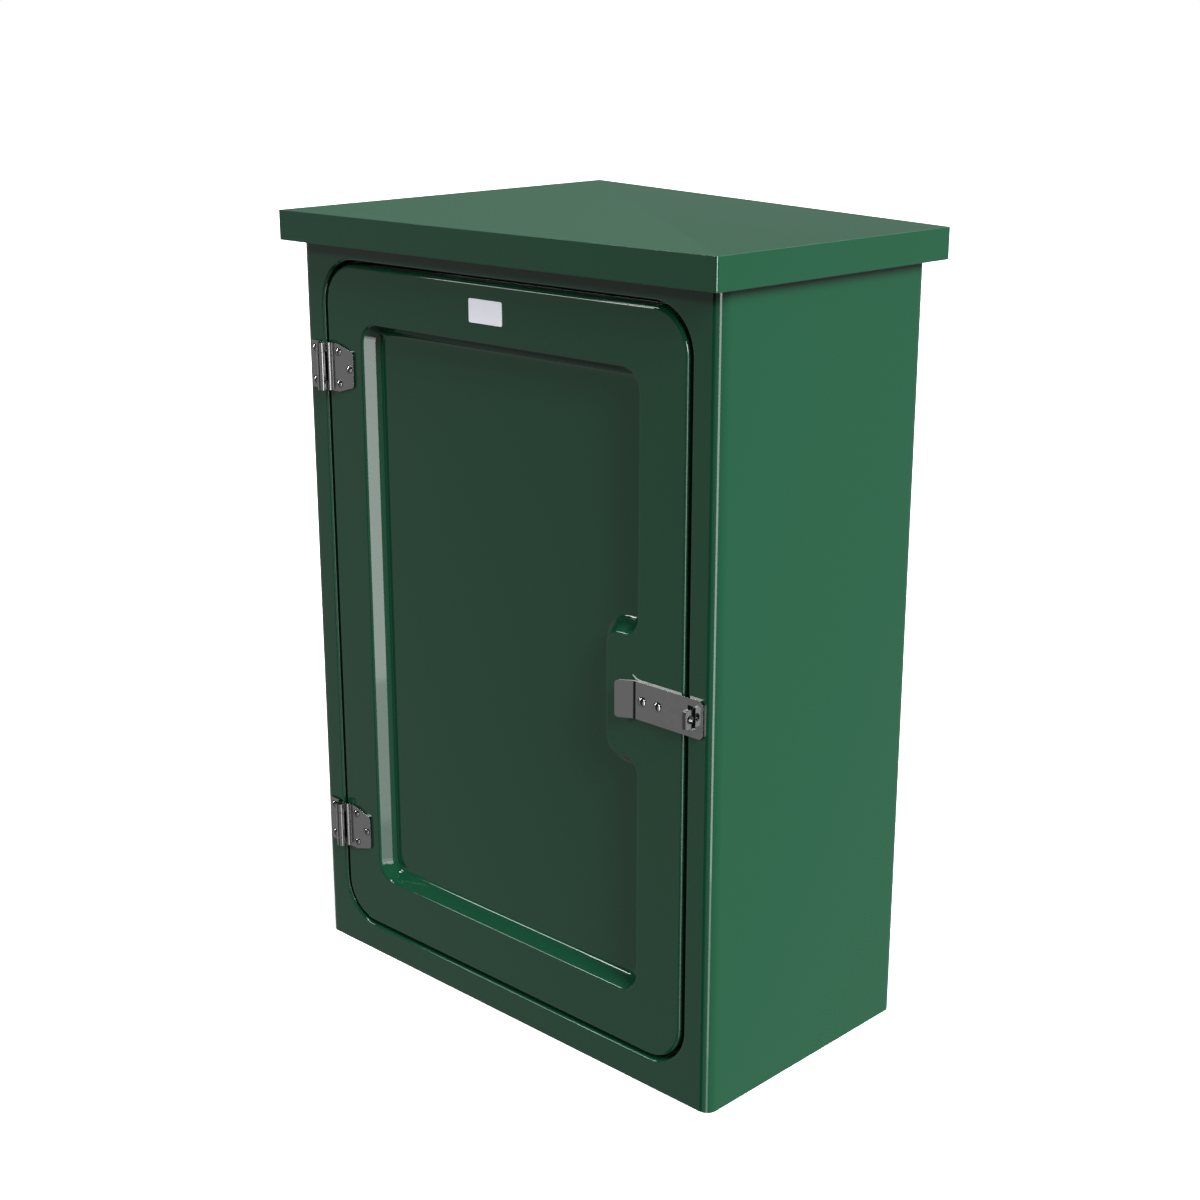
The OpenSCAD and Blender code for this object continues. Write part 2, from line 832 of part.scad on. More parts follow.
module upper_door_leaf() {
    door_leaf(hinge_zs[0]);
}

module lower_door_leaf() {
    door_leaf(hinge_zs[1]);
}

module frame_hinge_bolts() {
    color(steel)
        for (p = frame_points)
            cup_bolt(p[0], p[1], -leaf_t, bolt_end, cup_r, cup_h);
}

module frame_hinge_washers() {
    color(zinc)
        for (p = frame_points)
            flat_washer(p[0], p[1], wall);
}

module frame_hinge_nuts() {
    color(zinc)
        for (p = frame_points)
            hex_nut(p[0], p[1], nut_y);
}

module door_hinge_bolts() {
    color(steel)
        for (p = door_points)
            cup_bolt(p[0], p[1], -leaf_t, bolt_end, cup_r, cup_h);
}

module door_hinge_washers() {
    color(zinc)
        for (p = door_points)
            flat_washer(p[0], p[1], wall);
}

module door_hinge_nuts() {
    color(zinc)
        for (p = door_points)
            hex_nut(p[0], p[1], nut_y);
}

module hasp_staple() {
    color(steel)
        difference() {
            union() {
                translate([staple_x - staple_t / 2, front, hasp_z])
                    rotate([90, 0, 90])
                        linear_extrude(staple_t)
                            difference() {
                                translate([-staple_out, -staple_h / 2])
                                    square([staple_out + wall + staple_base_t, staple_h]);
                                for (z = [-1, 1])
                                    corner_bit([-staple_out, z * staple_h / 2], [1, -z], staple_corner);
                            }
                translate([base_x, 0, hasp_z])
                    behind(wall, wall + staple_base_t)
                        round_rect(staple_base_w, staple_base_h, small_corner);
            }
            translate([staple_x - staple_t, padlock_y, hasp_z])
                rotate([0, 90, 0])
                    cylinder(d = padlock_d, h = 2 * staple_t);
            for (z = [-1, 1])
                pole(staple_screw_x, hasp_z + z * staple_pitch / 2, wall - over,
                    wall + staple_base_t + over, bolt_d / 2 + bolt_play);
        }
}

// What a rounded corner at p leaves outside; d points from the corner into the shape
module corner_bit(p, d, r) {
    difference() {
        translate(p + [d[0] * r / 2, d[1] * r / 2])
            square(r, center = true);
        translate(p + [d[0] * r, d[1] * r])
            circle(r);
    }
}

module staple_screws() {
    color(zinc)
        for (z = [-1, 1]) {
            pole(staple_screw_x, hasp_z + z * staple_pitch / 2, csk_h / 2,
                wall + staple_base_t + nut_h + bolt_tail, bolt_d / 2);
            translate([staple_screw_x, front, hasp_z + z * staple_pitch / 2])
                rotate([-90, 0, 0])
                    cylinder(r1 = csk_r - csk_play, r2 = bolt_d / 2 - csk_play, h = csk_h);
        }
}

module staple_nuts() {
    color(zinc)
        for (z = [-1, 1])
            hex_nut(staple_screw_x, hasp_z + z * staple_pitch / 2, wall + staple_base_t);
}

module backboard() {
    color(ply)
        difference() {
            translate([-board_w / 2, board_y, door_z - board_h / 2])
                cube([board_w, board_t, board_h]);
            for (x = [-1, 1], z = [-1, 1])
                pole(x * board_screw_x, door_z + z * board_screw_z, board_y - front - over,
                    board_y - front + board_t + over, board_screw_d / 2 + bolt_play);
        }
}

module backboard_screws() {
    head_y = board_y - front - washer_t;
    color(zinc)
        for (x = [-1, 1], z = [-1, 1]) {
            pole(x * board_screw_x, door_z + z * board_screw_z, head_y - board_head_h / 2,
                board_y - front + board_t + pad_l - board_screw_short, board_screw_d / 2);
            pole(x * board_screw_x, door_z + z * board_screw_z, head_y - board_head_h, head_y,
                board_head_r);
        }
}

module backboard_washers() {
    color(zinc)
        for (x = [-1, 1], z = [-1, 1])
            difference() {
                pole(x * board_screw_x, door_z + z * board_screw_z, board_y - front - washer_t,
                    board_y - front, board_washer_r);
                pole(x * board_screw_x, door_z + z * board_screw_z, board_y - front - washer_t - over,
                    board_y - front + over, board_screw_d / 2 + bolt_play);
            }
}

module door_panel() {
    color(grp)
        difference() {
            translate([0, 0, door_z])
                difference() {
                    union() {
                        carry(door_w, door_h, door_r)
                            door_edge();
                        behind(0, wall)
                            square([door_w - 2 * door_r, door_h - 2 * door_r], center = true);
                        recess_back();
                    }
                    recess_cut();
                }
            for (p = door_points)
                pole(p[0], p[1], -over, wall + over, bolt_d / 2 + bolt_play);
            for (x = hasp_bolt_xs)
                pole(x, hasp_z, -over, wall + over, bolt_d / 2 + bolt_play);
        }
}

// The hasp seen from above: flat plate with its finger tab bent forward
module hasp_section() {
    tip = [bend_x - tab_l * cos(tab_angle), -tab_l * sin(tab_angle)];
    skin = hasp_t * [-sin(tab_angle), -cos(tab_angle)];
    knee_x = bend_x - hasp_t * tan(tab_angle / 2);
    polygon([[bend_x, 0], [hasp_end, 0], [hasp_end, -hasp_t], [knee_x, -hasp_t], tip + skin, tip]);
}

module hasp_plate() {
    tab_x = bend_x - tab_l * cos(tab_angle) - hasp_t * sin(tab_angle);
    half = hasp_h / 2;
    color(steel)
        difference() {
            intersection() {
                translate([0, front, hasp_z - half])
                    linear_extrude(hasp_h)
                        hasp_section();
                translate([0, 0, hasp_z])
                    behind(-tab_l - hasp_t, over)
                        polygon(concat(
                            arc([tab_x + tab_corner, half - tab_corner], tab_corner, 90, 180),
                            arc([tab_x + tab_corner, tab_corner - half], tab_corner, 180, 270),
                            [[hasp_end - hasp_cut, -half], [hasp_end, hasp_cut - half],
                                [hasp_end, half - hasp_cut], [hasp_end - hasp_cut, half]]
                        ));
            }
            translate([staple_x, 0, hasp_z])
                behind(-hasp_t - over, over)
                    round_rect(slot_w, slot_h, slot_r);
            for (x = hasp_bolt_xs)
                pole(x, hasp_z, -hasp_t - over, over, bolt_d / 2 + bolt_play);
        }
}

module hasp_bolts() {
    color(steel)
        for (x = hasp_bolt_xs)
            cup_bolt(x, hasp_z, -hasp_t, bolt_end, hasp_cup_r, hasp_cup_h);
}

module hasp_washers() {
    color(zinc)
        for (x = hasp_bolt_xs)
            flat_washer(x, hasp_z, wall);
}

module hasp_nuts() {
    color(zinc)
        for (x = hasp_bolt_xs)
            hex_nut(x, hasp_z, nut_y);
}

module label_plate() {
    rail_z = (recess_h / 2 + door_h / 2) / 2;
    color(white)
        translate([label_x, 0, door_z + rail_z])
            behind(-label_t, 0)
                round_rect(label_w, label_h, label_r);
}

cabinet_shell();
roof();
roof_bolts();
roof_washers();
door_seal();
upper_frame_leaf();
lower_frame_leaf();
upper_hinge_pin();
lower_hinge_pin();
frame_hinge_bolts();
frame_hinge_washers();
frame_hinge_nuts();
hasp_staple();
staple_screws();
staple_nuts();
backboard();
backboard_screws();
backboard_washers();
door_panel();
upper_door_leaf();
lower_door_leaf();
door_hinge_bolts();
door_hinge_washers();
door_hinge_nuts();
hasp_plate();
hasp_bolts();
hasp_washers();
hasp_nuts();
label_plate();
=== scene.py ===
# Roadside utility cabinet: a glossy moulded housing, a hipped roof and one hinged door with its fittings.
# Everything is in metres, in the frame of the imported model.
import json
import math
import bmesh
import bpy
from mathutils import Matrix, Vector


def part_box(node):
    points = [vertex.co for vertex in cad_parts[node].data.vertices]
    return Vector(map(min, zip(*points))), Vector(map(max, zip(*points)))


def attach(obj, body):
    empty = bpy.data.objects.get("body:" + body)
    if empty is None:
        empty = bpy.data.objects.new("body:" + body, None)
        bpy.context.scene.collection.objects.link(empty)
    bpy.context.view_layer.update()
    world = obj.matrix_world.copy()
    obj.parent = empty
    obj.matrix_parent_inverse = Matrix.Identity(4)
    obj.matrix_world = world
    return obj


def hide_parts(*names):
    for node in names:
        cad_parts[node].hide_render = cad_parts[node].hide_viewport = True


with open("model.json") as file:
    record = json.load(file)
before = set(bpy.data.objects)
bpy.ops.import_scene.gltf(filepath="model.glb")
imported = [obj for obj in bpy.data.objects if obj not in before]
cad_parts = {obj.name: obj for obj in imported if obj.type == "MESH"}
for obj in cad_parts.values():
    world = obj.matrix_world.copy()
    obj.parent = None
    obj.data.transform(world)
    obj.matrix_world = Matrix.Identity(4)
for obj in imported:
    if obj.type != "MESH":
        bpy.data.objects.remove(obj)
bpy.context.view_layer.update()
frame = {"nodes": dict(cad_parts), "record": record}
nodes = frame["nodes"]
mm = 0.001
weld = 1e-6
print("frame loaded:", len(nodes), "nodes")


# ---- small helpers

def srgb(hexColour):
    # an sRGB hex colour as the linear values that Blender wants
    channels = [int(hexColour[i:i + 2], 16) / 255 for i in (1, 3, 5)]
    return [c / 12.92 if c <= 0.04045 else ((c + 0.055) / 1.055) ** 2.4 for c in channels] + [1.0]


def addNode(tree, kind, settings=None, inputs=None):
    # adds a node, sets its properties, then sets or links its inputs
    node = tree.nodes.new(kind)
    for key, value in (settings or {}).items():
        setattr(node, key, value)
    for key, value in (inputs or {}).items():
        if isinstance(value, bpy.types.NodeSocket):
            tree.links.new(value, node.inputs[key])
        else:
            node.inputs[key].default_value = value
    return node


def newMaterial(name):
    material = bpy.data.materials.new(name)
    material.use_nodes = True
    material.node_tree.nodes.clear()
    return material, material.node_tree


def outputTo(tree, shader):
    addNode(tree, "ShaderNodeOutputMaterial", inputs={"Surface": shader.outputs["BSDF"]})


def objectCoords(tree):
    return addNode(tree, "ShaderNodeTexCoord").outputs["Object"]


def perMetre(sizeInMm):
    # texture scale that gives one cell of this real size
    return 1 / (sizeInMm * mm)


def linkMesh(name, mesh):
    piece = bpy.data.objects.new(name, mesh)
    bpy.context.scene.collection.objects.link(piece)
    return piece


def meshPiece(name, points, faces, smooth=True):
    mesh = bpy.data.meshes.new(name)
    mesh.from_pydata([tuple(p) for p in points], [], faces)
    mesh.update()
    mesh.shade_smooth() if smooth else mesh.shade_flat()
    return linkMesh(name, mesh)


def applyModifiers(piece):
    # the evaluated mesh becomes the piece's own, and its modifiers go
    graph = bpy.context.evaluated_depsgraph_get()
    mesh = bpy.data.meshes.new_from_object(piece.evaluated_get(graph))
    piece.modifiers.clear()
    piece.data = mesh


def mergedCopy(nodeName):
    # a CAD mesh with its loose triangles joined and its flat faces made whole
    work = bmesh.new()
    work.from_mesh(nodes[nodeName].data)
    bmesh.ops.remove_doubles(work, verts=work.verts, dist=weld)
    bmesh.ops.dissolve_limit(work, angle_limit=math.radians(0.2), verts=work.verts, edges=work.edges)
    return work


def edgesWhere(work, leastAngle, mostAngle, test):
    # edges whose two faces meet within these angles, and whose middle and direction pass the test
    found = []
    for edge in work.edges:
        if len(edge.link_faces) != 2:
            continue
        bend = math.degrees(edge.calc_face_angle())
        if leastAngle <= bend <= mostAngle:
            ends = [v.co for v in edge.verts]
            if test((ends[0] + ends[1]) / 2, (ends[1] - ends[0]).normalized()):
                found.append(edge)
    return found


def isUpright(way):
    return abs(way.z) > 0.99


def roundEdges(work, edges, width, segments):
    bmesh.ops.bevel(work, geom=edges, offset=width, offset_type="OFFSET", segments=segments,
                    profile=0.5, affect="EDGES", clamp_overlap=True)


def finishCopy(work, name, edgeWidth=0.0, segments=2, leastAngle=35):
    # rounds what is still sharp, and keeps the flat faces flat in the shading
    mesh = bpy.data.meshes.new(name)
    work.to_mesh(mesh)
    work.free()
    mesh.shade_smooth()
    piece = linkMesh(name, mesh)
    if edgeWidth:
        bevel = piece.modifiers.new("edges", "BEVEL")
        bevel.width = edgeWidth
        bevel.segments = segments
        bevel.limit_method = "ANGLE"
        bevel.angle_limit = math.radians(leastAngle)
    weighted = piece.modifiers.new("flat faces stay flat", "WEIGHTED_NORMAL")
    weighted.weight = 90
    applyModifiers(piece)
    return piece


def standFor(piece, material, slotName, body, *cadNodes):
    # gives the finished piece its material, and its place in the assembly
    piece.data.materials.clear()
    piece.data.materials.append(material)
    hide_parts(*cadNodes)
    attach(piece, body)


# ---- materials

# GRP gelcoat: polyester resin sprayed on a polished mould, then backed with glass mat.
# The show face is glossy with a faint orange peel; the back shows the fibres under a resin wash.
gelcoat = {
    "colour": "#0e412a", "lightColour": "#10462e", "backColour": "#34503f", "fibreColour": "#4c6a58",
    "roughness": 0.06, "backRoughness": 0.5, "ior": 1.48,
    "peelMm": 2.6, "wavesMm": 60, "fibreMm": 9, "mottleMm": 1.4, "fibreWidth": 0.12,
    "showBump": 0.1, "peelDepthMm": 0.006, "waveDepthMm": 0.1, "fibreBump": 0.5, "fibreDepthMm": 0.15,
}


def makeGelcoat(name, backMask):
    # backMask adds the nodes that are 1 on the back of the moulding
    values = gelcoat
    material, tree = newMaterial(name)
    place = objectCoords(tree)
    mottle = addNode(tree, "ShaderNodeTexNoise", inputs={
        "Vector": place, "Scale": perMetre(values["mottleMm"]), "Detail": 2.0, "Roughness": 0.6})
    colour = addNode(tree, "ShaderNodeMix", {"data_type": "RGBA"}, {
        "Factor": mottle.outputs["Fac"], "A": srgb(values["colour"]), "B": srgb(values["lightColour"])})
    peel = addNode(tree, "ShaderNodeTexNoise", inputs={
        "Vector": place, "Scale": perMetre(values["peelMm"]), "Detail": 1.0})
    waves = addNode(tree, "ShaderNodeTexNoise", inputs={
        "Vector": place, "Scale": perMetre(values["wavesMm"]), "Detail": 0.0})
    fibres = addNode(tree, "ShaderNodeTexVoronoi", {"feature": "DISTANCE_TO_EDGE"}, {
        "Vector": place, "Scale": perMetre(values["fibreMm"]), "Randomness": 1.0})
    fibreLine = addNode(tree, "ShaderNodeMapRange", inputs={
        "Value": fibres.outputs["Distance"], "From Min": 0.0, "From Max": values["fibreWidth"],
        "To Min": 1.0, "To Max": 0.0})
    backColour = addNode(tree, "ShaderNodeMix", {"data_type": "RGBA"}, {
        "Factor": fibreLine.outputs["Result"], "A": srgb(values["backColour"]),
        "B": srgb(values["fibreColour"])})
    mask = backMask(tree, place)
    shownColour = addNode(tree, "ShaderNodeMix", {"data_type": "RGBA"}, {
        "Factor": mask, "A": colour.outputs["Result"], "B": backColour.outputs["Result"]})
    roughness = addNode(tree, "ShaderNodeMapRange", inputs={
        "Value": mask, "To Min": values["roughness"], "To Max": values["backRoughness"]})
    waveBump = addNode(tree, "ShaderNodeBump", inputs={
        "Height": waves.outputs["Fac"], "Strength": values["showBump"],
        "Distance": values["waveDepthMm"] * mm})
    peelBump = addNode(tree, "ShaderNodeBump", inputs={
        "Height": peel.outputs["Fac"], "Strength": values["showBump"],
        "Distance": values["peelDepthMm"] * mm, "Normal": waveBump.outputs["Normal"]})
    fibreHeight = addNode(tree, "ShaderNodeMath", {"operation": "MULTIPLY"}, {
        0: fibreLine.outputs["Result"], 1: mask})
    fibreBump = addNode(tree, "ShaderNodeBump", inputs={
        "Height": fibreHeight.outputs["Value"], "Strength": values["fibreBump"],
        "Distance": values["fibreDepthMm"] * mm, "Normal": peelBump.outputs["Normal"]})
    shader = addNode(tree, "ShaderNodeBsdfPrincipled", inputs={
        "Base Color": shownColour.outputs["Result"], "Roughness": roughness.outputs["Result"],
        "IOR": values["ior"], "Normal": fibreBump.outputs["Normal"]})
    outputTo(tree, shader)
    return material


# where each moulding's back begins: by place on the housing, by the way a face looks on the door and roof
backFaces = {"inwards": -0.002, "doorwaySide": 276.5 * mm, "doorwayLedge": -135.9 * mm,
             "doorLook": 0.05, "roofLook": -0.6}


def insideHousing(tree, place):
    # 1 on walls that face the middle, but not on the doorway's own returns, which are show faces
    normal = addNode(tree, "ShaderNodeTexCoord").outputs["Normal"]
    flatNormal = addNode(tree, "ShaderNodeVectorMath", {"operation": "MULTIPLY"}, {
        0: normal, 1: (1.0, 1.0, 0.0)})
    outwards = addNode(tree, "ShaderNodeVectorMath", {"operation": "DOT_PRODUCT"}, {
        0: flatNormal.outputs["Vector"], 1: place})
    facing = addNode(tree, "ShaderNodeMath", {"operation": "LESS_THAN"}, {
        0: outwards.outputs["Value"], 1: backFaces["inwards"]})
    axes = addNode(tree, "ShaderNodeSeparateXYZ", inputs={"Vector": place})
    across = addNode(tree, "ShaderNodeMath", {"operation": "ABSOLUTE"}, {0: axes.outputs["X"]})
    besideDoorway = addNode(tree, "ShaderNodeMath", {"operation": "GREATER_THAN"}, {
        0: across.outputs[0], 1: backFaces["doorwaySide"]})
    behindLedge = addNode(tree, "ShaderNodeMath", {"operation": "GREATER_THAN"}, {
        0: axes.outputs["Y"], 1: backFaces["doorwayLedge"]})
    either = addNode(tree, "ShaderNodeMath", {"operation": "MAXIMUM"}, {
        0: besideDoorway.outputs[0], 1: behindLedge.outputs[0]})
    return addNode(tree, "ShaderNodeMath", {"operation": "MULTIPLY"}, {
        0: facing.outputs[0], 1: either.outputs[0]}).outputs[0]


def behindDoor(tree, place):
    # 1 on faces that look back into the cabinet
    normal = addNode(tree, "ShaderNodeTexCoord").outputs["Normal"]
    axes = addNode(tree, "ShaderNodeSeparateXYZ", inputs={"Vector": normal})
    return addNode(tree, "ShaderNodeMath", {"operation": "GREATER_THAN"}, {
        0: axes.outputs["Y"], 1: backFaces["doorLook"]}).outputs[0]


def underRoof(tree, place):
    # 1 on faces that look down
    normal = addNode(tree, "ShaderNodeTexCoord").outputs["Normal"]
    axes = addNode(tree, "ShaderNodeSeparateXYZ", inputs={"Vector": normal})
    return addNode(tree, "ShaderNodeMath", {"operation": "LESS_THAN"}, {
        0: axes.outputs["Z"], 1: backFaces["roofLook"]}).outputs[0]


# Stainless steel sheet, rolled and lightly brushed: grey, mirror-like at a slant, with fine lines.
stainless = {"colour": "#969696", "roughness": 0.11, "lineMm": 0.35, "smearMm": 7, "stretch": 0.03,
             "bump": 0.1, "lineDepthMm": 0.01, "smoother": 0.03, "rougher": 0.04}
# The staple's steel is a darker, duller copy of the sheet steel; its darker colour is painted shade, set to
# suit these lamps.
stapleSteelShaded = dict(stainless, colour="#6e6e6e", roughness=0.3, smearMm=5)


def makeStainless(name, values):
    material, tree = newMaterial(name)
    place = objectCoords(tree)
    stretched = addNode(tree, "ShaderNodeMapping", inputs={
        "Vector": place, "Scale": (1.0, 1.0, values["stretch"])})
    lines = addNode(tree, "ShaderNodeTexNoise", inputs={
        "Vector": stretched.outputs["Vector"], "Scale": perMetre(values["lineMm"]), "Detail": 2.0})
    smears = addNode(tree, "ShaderNodeTexNoise", inputs={
        "Vector": place, "Scale": perMetre(values["smearMm"]), "Detail": 3.0})
    roughness = addNode(tree, "ShaderNodeMapRange", inputs={
        "Value": smears.outputs["Fac"], "From Min": 0.3, "From Max": 0.7,
        "To Min": values["roughness"] - values["smoother"],
        "To Max": values["roughness"] + values["rougher"]})
    bump = addNode(tree, "ShaderNodeBump", inputs={
        "Height": lines.outputs["Fac"], "Strength": values["bump"],
        "Distance": values["lineDepthMm"] * mm})
    shader = addNode(tree, "ShaderNodeBsdfPrincipled", inputs={
        "Base Color": srgb(values["colour"]), "Metallic": 1.0, "Roughness": roughness.outputs["Result"],
        "Normal": bump.outputs["Normal"]})
    outputTo(tree, shader)
    return material


# Zinc-plated steel: pale, slightly blue, with soft blotches from the plating bath.
zincPlate = {"colour": "#c6cbd0", "blotchColour": "#b3b4a8", "roughness": 0.32, "blotchMm": 3,
             "smoother": 0.08, "rougher": 0.1}


def makeZinc(name):
    values = zincPlate
    material, tree = newMaterial(name)
    place = objectCoords(tree)
    blotches = addNode(tree, "ShaderNodeTexNoise", inputs={
        "Vector": place, "Scale": perMetre(values["blotchMm"]), "Detail": 3.0})
    colour = addNode(tree, "ShaderNodeMix", {"data_type": "RGBA"}, {
        "Factor": blotches.outputs["Fac"], "A": srgb(values["colour"]), "B": srgb(values["blotchColour"])})
    roughness = addNode(tree, "ShaderNodeMapRange", inputs={
        "Value": blotches.outputs["Fac"], "To Min": values["roughness"] - values["smoother"],
        "To Max": values["roughness"] + values["rougher"]})
    shader = addNode(tree, "ShaderNodeBsdfPrincipled", inputs={
        "Base Color": colour.outputs["Result"], "Metallic": 1.0, "Roughness": roughness.outputs["Result"]})
    outputTo(tree, shader)
    return material


# Closed-cell foam rubber: dull black with fine pores.
foamRubber = {"colour": "#161616", "dustColour": "#2b2b2a", "roughness": 0.85, "poreMm": 0.8,
              "bump": 0.4, "poreDepthMm": 0.1}


def makeFoamRubber(name):
    values = foamRubber
    material, tree = newMaterial(name)
    pores = addNode(tree, "ShaderNodeTexVoronoi", inputs={
        "Vector": objectCoords(tree), "Scale": perMetre(values["poreMm"])})
    colour = addNode(tree, "ShaderNodeMix", {"data_type": "RGBA"}, {
        "Factor": pores.outputs["Distance"], "A": srgb(values["colour"]), "B": srgb(values["dustColour"])})
    bump = addNode(tree, "ShaderNodeBump", inputs={
        "Height": pores.outputs["Distance"], "Strength": values["bump"],
        "Distance": values["poreDepthMm"] * mm})
    shader = addNode(tree, "ShaderNodeBsdfPrincipled", inputs={
        "Base Color": colour.outputs["Result"], "Roughness": values["roughness"],
        "Normal": bump.outputs["Normal"]})
    outputTo(tree, shader)
    return material


# Birch plywood: pale rotary-cut face with long figure, and bands of end grain along the edges.
plywood = {"colour": "#d0ad78", "figureColour": "#b58a55", "plyColour": "#8d6238",
           "roughness": 0.6, "figureMm": 22, "stretch": 0.08, "plyMm": 1.7, "bump": 0.25,
           "grainDepthMm": 0.1}
waveBands = 20  # a wave texture draws this many bands in a unit of its scale


def makePlywood(name):
    values = plywood
    material, tree = newMaterial(name)
    place = objectCoords(tree)
    drawn = addNode(tree, "ShaderNodeMapping", inputs={
        "Vector": place, "Scale": (1.0, 1.0, values["stretch"])})
    figure = addNode(tree, "ShaderNodeTexNoise", inputs={
        "Vector": drawn.outputs["Vector"], "Scale": perMetre(values["figureMm"]), "Detail": 6.0,
        "Distortion": 0.6})
    face = addNode(tree, "ShaderNodeMix", {"data_type": "RGBA"}, {
        "Factor": figure.outputs["Fac"], "A": srgb(values["colour"]), "B": srgb(values["figureColour"])})
    plies = addNode(tree, "ShaderNodeTexWave", {"bands_direction": "Y"}, {
        "Vector": place, "Scale": perMetre(values["plyMm"] * waveBands), "Distortion": 0.4, "Detail": 1.0})
    edge = addNode(tree, "ShaderNodeMix", {"data_type": "RGBA"}, {
        "Factor": plies.outputs["Fac"], "A": srgb(values["plyColour"]), "B": srgb(values["colour"])})
    axes = addNode(tree, "ShaderNodeSeparateXYZ", inputs={
        "Vector": addNode(tree, "ShaderNodeTexCoord").outputs["Normal"]})
    across = addNode(tree, "ShaderNodeMath", {"operation": "ABSOLUTE"}, {0: axes.outputs["Y"]})
    onEdge = addNode(tree, "ShaderNodeMath", {"operation": "LESS_THAN"}, {0: across.outputs[0], 1: 0.5})
    colour = addNode(tree, "ShaderNodeMix", {"data_type": "RGBA"}, {
        "Factor": onEdge.outputs[0], "A": face.outputs["Result"], "B": edge.outputs["Result"]})
    bump = addNode(tree, "ShaderNodeBump", inputs={
        "Height": figure.outputs["Fac"], "Strength": values["bump"],
        "Distance": values["grainDepthMm"] * mm})
    shader = addNode(tree, "ShaderNodeBsdfPrincipled", inputs={
        "Base Color": colour.outputs["Result"], "Roughness": values["roughness"],
        "Normal": bump.outputs["Normal"]})
    outputTo(tree, shader)
    return material


# Polyester label film: satin white and left blank. Its glow is painted light, set to suit these lamps.
labelFilm = {"colour": "#f8f9fc", "paintedGlowColour": "#e4eaff", "paintedGlow": 0.19, "roughness": 0.4,
             "speckleMm": 1.2, "speckle": 0.08}


def makeLabelFilm(name):
    values = labelFilm
    material, tree = newMaterial(name)
    place = objectCoords(tree)
    speckle = addNode(tree, "ShaderNodeTexNoise", inputs={
        "Vector": place, "Scale": perMetre(values["speckleMm"]), "Detail": 2.0})
    roughness = addNode(tree, "ShaderNodeMapRange", inputs={
        "Value": speckle.outputs["Fac"], "To Min": values["roughness"] - values["speckle"],
        "To Max": values["roughness"] + values["speckle"]})
    # the emission is painted light: the film glows though it is no lamp
    shader = addNode(tree, "ShaderNodeBsdfPrincipled", inputs={
        "Base Color": srgb(values["colour"]), "Roughness": roughness.outputs["Result"],
        "Emission Color": srgb(values["paintedGlowColour"]), "Emission Strength": values["paintedGlow"]})
    outputTo(tree, shader)
    return material


housingGelcoat = makeGelcoat("GRP_gelcoat_housing", insideHousing)
doorGelcoat = makeGelcoat("GRP_gelcoat_door", behindDoor)
roofGelcoat = makeGelcoat("GRP_gelcoat_roof", underRoof)
steelSheet = makeStainless("stainless_steel_satin", stainless)
# the staple's steel: its darker colour is painted shade
shadedDullSteel = makeStainless("stainless_steel_staple_shaded", stapleSteelShaded)
zinc = makeZinc("zinc_plated_steel")
rubber = makeFoamRubber("foam_rubber")
birch = makePlywood("birch_plywood")
film = makeLabelFilm("label_film")

cadMaterials = {
    "grp_gelcoat": housingGelcoat, "stainless": steelSheet, "zinc_steel": zinc,
    "seal_rubber": rubber, "plywood": birch, "label_plastic": film,
}
for row in frame["record"]["subparts"]:
    nodes[row["node"]].material_slots[0].material = cadMaterials[row["material_slot"]]
nodes["door_panel"].material_slots[0].material = doorGelcoat
nodes["roof"].material_slots[0].material = roofGelcoat
print("materials made")


# ---- roof

roofShape = {"rise": 40 * mm, "hipSoft": 2.5 * mm, "eaveRound": 2.4 * mm, "lipRound": 1.2 * mm,
             "hipSlack": 1.5 * mm, "eaveSlack": 2 * mm, "rimBand": 4 * mm, "lipSlack": 0.5 * mm,
             "hipAngles": (8, 25), "eaveAngles": (45, 100), "lipAngles": (60, 100)}


def makeRoof():
    low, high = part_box("roof")
    eave = high.z - roofShape["rise"]
    work = mergedCopy("roof")

    def onHip(middle, way):
        # the outer hips fall evenly from the peak to the corners
        expected = high.z - roofShape["rise"] * abs(middle.x) / high.x
        slanting = 0.1 < abs(way.x) < 0.95 and abs(way.y) > 0.1
        return slanting and abs(middle.z - expected) < roofShape["hipSlack"]

    def onEave(middle, way):
        band = roofShape["rimBand"]
        outside = abs(middle.x) > high.x - band or abs(middle.y) > high.y - band
        return outside and middle.z > eave - roofShape["eaveSlack"]

    def onLip(middle, way):
        return middle.z < low.z + roofShape["lipSlack"]

    hips = edgesWhere(work, *roofShape["hipAngles"], onHip)
    roundEdges(work, hips, roofShape["hipSoft"], 4)
    eaves = edgesWhere(work, *roofShape["eaveAngles"], onEave)
    roundEdges(work, eaves, roofShape["eaveRound"], 4)
    lips = edgesWhere(work, *roofShape["lipAngles"], onLip)
    roundEdges(work, lips, roofShape["lipRound"], 3)
    print("roof:", len(hips), "hip,", len(eaves), "eave and", len(lips), "lip edges")
    piece = finishCopy(work, "roof_moulding")
    standFor(piece, roofGelcoat, "grp_gelcoat", "cabinet", "roof")


makeRoof()


# ---- hinges, hasp and staple: sheet steel with bent corners and deburred edges

sheetWork = {"bendOut": 1.3 * mm, "deburr": 0.35 * mm, "haspBend": 2.6 * mm, "stapleEdge": 0.7 * mm,
             "pinEnd": 0.7 * mm, "facePlane": -160 * mm, "planeSlack": 0.1 * mm,
             "hingeLine": -272.75 * mm, "joggle": 6 * mm,
             "joggleStart": 6 * mm, "joggleEnd": 10 * mm, "haspBendAt": (200 * mm, 212 * mm),
             "joggleAngles": (50, 90), "haspAngles": (20, 45)}


